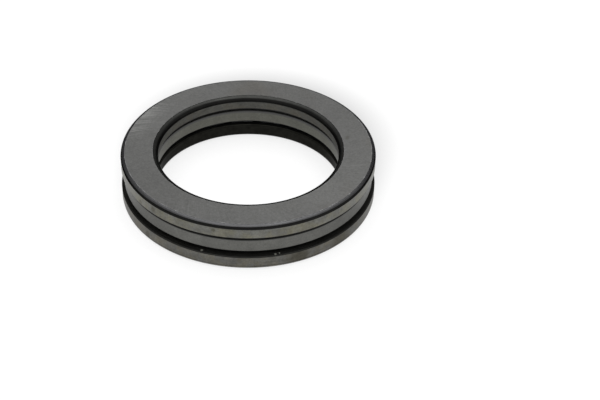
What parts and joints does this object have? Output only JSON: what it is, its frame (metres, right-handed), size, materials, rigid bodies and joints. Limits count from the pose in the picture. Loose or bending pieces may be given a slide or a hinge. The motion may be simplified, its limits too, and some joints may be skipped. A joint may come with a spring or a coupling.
{
  "type": "thrust ball bearing",
  "caption": "Single-direction thrust ball bearing: a shaft washer and a housing washer with a caged ring of balls rolling between their grooves.",
  "frame": {"origin": "on the bearing's axis, at the housing washer's flat bottom face", "axes": "+Z along the bearing's axis, from the housing washer to the shaft washer; X and Y lie in the bottom face"},
  "size_m": [0.085, 0.085, 0.017],
  "materials": {
    "ground_steel": "fine ground bearing steel, satin, with a film of preserving oil",
    "turned_steel": "turned steel, satin",
    "polished_steel": "lapped and polished bearing steel"
  },
  "bodies": {
    "housing_washer": {"housing_washer": "ground_steel"},
    "shaft_washer": {"shaft_washer": "ground_steel"},
    "cage": {"cage": "turned_steel"},
    "ball_01": {"ball_01": "polished_steel"},
    "ball_02": {"ball_02": "polished_steel"},
    "ball_03": {"ball_03": "polished_steel"},
    "ball_04": {"ball_04": "polished_steel"},
    "ball_05": {"ball_05": "polished_steel"},
    "ball_06": {"ball_06": "polished_steel"},
    "ball_07": {"ball_07": "polished_steel"},
    "ball_08": {"ball_08": "polished_steel"},
    "ball_09": {"ball_09": "polished_steel"},
    "ball_10": {"ball_10": "polished_steel"},
    "ball_11": {"ball_11": "polished_steel"},
    "ball_12": {"ball_12": "polished_steel"},
    "ball_13": {"ball_13": "polished_steel"},
    "ball_14": {"ball_14": "polished_steel"},
    "ball_15": {"ball_15": "polished_steel"},
    "ball_16": {"ball_16": "polished_steel"},
    "ball_17": {"ball_17": "polished_steel"},
    "ball_18": {"ball_18": "polished_steel"},
    "ball_19": {"ball_19": "polished_steel"},
    "ball_20": {"ball_20": "polished_steel"},
    "ball_21": {"ball_21": "polished_steel"},
    "ball_22": {"ball_22": "polished_steel"}
  },
  "joints": [
    {"name": "shaft_washer_spin", "type": "hinge", "parent": "housing_washer", "child": "shaft_washer", "pos_m": [0, 0, 0.0145], "axis": [0, 0, 1], "continuous": true},
    {"name": "cage_orbit", "type": "hinge", "parent": "housing_washer", "child": "cage", "pos_m": [0, 0, 0.0085], "axis": [0, 0, 1], "continuous": true},
    {"name": "ball_01_roll", "type": "hinge", "parent": "cage", "child": "ball_01", "pos_m": [0.03598, 0.00397, 0.0085], "axis": [0.994, 0.1097, 0], "continuous": true},
    {"name": "ball_02_roll", "type": "hinge", "parent": "cage", "child": "ball_02", "pos_m": [0.0334, 0.01395, 0.0085], "axis": [0.9228, 0.3853, 0], "continuous": true},
    {"name": "ball_03_roll", "type": "hinge", "parent": "cage", "child": "ball_03", "pos_m": [0.02812, 0.02279, 0.0085], "axis": [0.7768, 0.6297, 0], "continuous": true},
    {"name": "ball_04_roll", "type": "hinge", "parent": "cage", "child": "ball_04", "pos_m": [0.02056, 0.02979, 0.0085], "axis": [0.568, 0.823, 0], "continuous": true},
    {"name": "ball_05_roll", "type": "hinge", "parent": "cage", "child": "ball_05", "pos_m": [0.01133, 0.03438, 0.0085], "axis": [0.3131, 0.9497, 0], "continuous": true},
    {"name": "ball_06_roll", "type": "hinge", "parent": "cage", "child": "ball_06", "pos_m": [0.00119, 0.03618, 0.0085], "axis": [0.0328, 0.9995, 0], "continuous": true},
    {"name": "ball_07_roll", "type": "hinge", "parent": "cage", "child": "ball_07", "pos_m": [-0.00905, 0.03505, 0.0085], "axis": [-0.2501, 0.9682, 0], "continuous": true},
    {"name": "ball_08_roll", "type": "hinge", "parent": "cage", "child": "ball_08", "pos_m": [-0.01856, 0.03108, 0.0085], "axis": [-0.5127, 0.8586, 0], "continuous": true},
    {"name": "ball_09_roll", "type": "hinge", "parent": "cage", "child": "ball_09", "pos_m": [-0.02656, 0.02459, 0.0085], "axis": [-0.7338, 0.6793, 0], "continuous": true},
    {"name": "ball_10_roll", "type": "hinge", "parent": "cage", "child": "ball_10", "pos_m": [-0.03242, 0.01611, 0.0085], "axis": [-0.8955, 0.4451, 0], "continuous": true},
    {"name": "ball_11_roll", "type": "hinge", "parent": "cage", "child": "ball_11", "pos_m": [-0.03564, 0.00633, 0.0085], "axis": [-0.9846, 0.1747, 0], "continuous": true},
    {"name": "ball_12_roll", "type": "hinge", "parent": "cage", "child": "ball_12", "pos_m": [-0.03598, -0.00397, 0.0085], "axis": [-0.994, -0.1097, 0], "continuous": true},
    {"name": "ball_13_roll", "type": "hinge", "parent": "cage", "child": "ball_13", "pos_m": [-0.0334, -0.01395, 0.0085], "axis": [-0.9228, -0.3853, 0], "continuous": true},
    {"name": "ball_14_roll", "type": "hinge", "parent": "cage", "child": "ball_14", "pos_m": [-0.02812, -0.02279, 0.0085], "axis": [-0.7768, -0.6297, 0], "continuous": true},
    {"name": "ball_15_roll", "type": "hinge", "parent": "cage", "child": "ball_15", "pos_m": [-0.02056, -0.02979, 0.0085], "axis": [-0.568, -0.823, 0], "continuous": true},
    {"name": "ball_16_roll", "type": "hinge", "parent": "cage", "child": "ball_16", "pos_m": [-0.01133, -0.03438, 0.0085], "axis": [-0.3131, -0.9497, 0], "continuous": true},
    {"name": "ball_17_roll", "type": "hinge", "parent": "cage", "child": "ball_17", "pos_m": [-0.00119, -0.03618, 0.0085], "axis": [-0.0328, -0.9995, 0], "continuous": true},
    {"name": "ball_18_roll", "type": "hinge", "parent": "cage", "child": "ball_18", "pos_m": [0.00905, -0.03505, 0.0085], "axis": [0.2501, -0.9682, 0], "continuous": true},
    {"name": "ball_19_roll", "type": "hinge", "parent": "cage", "child": "ball_19", "pos_m": [0.01856, -0.03108, 0.0085], "axis": [0.5127, -0.8586, 0], "continuous": true},
    {"name": "ball_20_roll", "type": "hinge", "parent": "cage", "child": "ball_20", "pos_m": [0.02656, -0.02459, 0.0085], "axis": [0.7338, -0.6793, 0], "continuous": true},
    {"name": "ball_21_roll", "type": "hinge", "parent": "cage", "child": "ball_21", "pos_m": [0.03242, -0.01611, 0.0085], "axis": [0.8955, -0.4451, 0], "continuous": true},
    {"name": "ball_22_roll", "type": "hinge", "parent": "cage", "child": "ball_22", "pos_m": [0.03564, -0.00633, 0.0085], "axis": [0.9846, -0.1747, 0], "continuous": true}
  ],
  "couplings": [
    {"joint": "cage_orbit", "follows": "shaft_washer_spin", "ratio": 0.5},
    {"joint": "ball_01_roll", "follows": "shaft_washer_spin", "ratio": -3.8005},
    {"joint": "ball_02_roll", "follows": "shaft_washer_spin", "ratio": -3.8005},
    {"joint": "ball_03_roll", "follows": "shaft_washer_spin", "ratio": -3.8005},
    {"joint": "ball_04_roll", "follows": "shaft_washer_spin", "ratio": -3.8005},
    {"joint": "ball_05_roll", "follows": "shaft_washer_spin", "ratio": -3.8005},
    {"joint": "ball_06_roll", "follows": "shaft_washer_spin", "ratio": -3.8005},
    {"joint": "ball_07_roll", "follows": "shaft_washer_spin", "ratio": -3.8005},
    {"joint": "ball_08_roll", "follows": "shaft_washer_spin", "ratio": -3.8005},
    {"joint": "ball_09_roll", "follows": "shaft_washer_spin", "ratio": -3.8005},
    {"joint": "ball_10_roll", "follows": "shaft_washer_spin", "ratio": -3.8005},
    {"joint": "ball_11_roll", "follows": "shaft_washer_spin", "ratio": -3.8005},
    {"joint": "ball_12_roll", "follows": "shaft_washer_spin", "ratio": -3.8005},
    {"joint": "ball_13_roll", "follows": "shaft_washer_spin", "ratio": -3.8005},
    {"joint": "ball_14_roll", "follows": "shaft_washer_spin", "ratio": -3.8005},
    {"joint": "ball_15_roll", "follows": "shaft_washer_spin", "ratio": -3.8005},
    {"joint": "ball_16_roll", "follows": "shaft_washer_spin", "ratio": -3.8005},
    {"joint": "ball_17_roll", "follows": "shaft_washer_spin", "ratio": -3.8005},
    {"joint": "ball_18_roll", "follows": "shaft_washer_spin", "ratio": -3.8005},
    {"joint": "ball_19_roll", "follows": "shaft_washer_spin", "ratio": -3.8005},
    {"joint": "ball_20_roll", "follows": "shaft_washer_spin", "ratio": -3.8005},
    {"joint": "ball_21_roll", "follows": "shaft_washer_spin", "ratio": -3.8005},
    {"joint": "ball_22_roll", "follows": "shaft_washer_spin", "ratio": -3.8005}
  ]
}
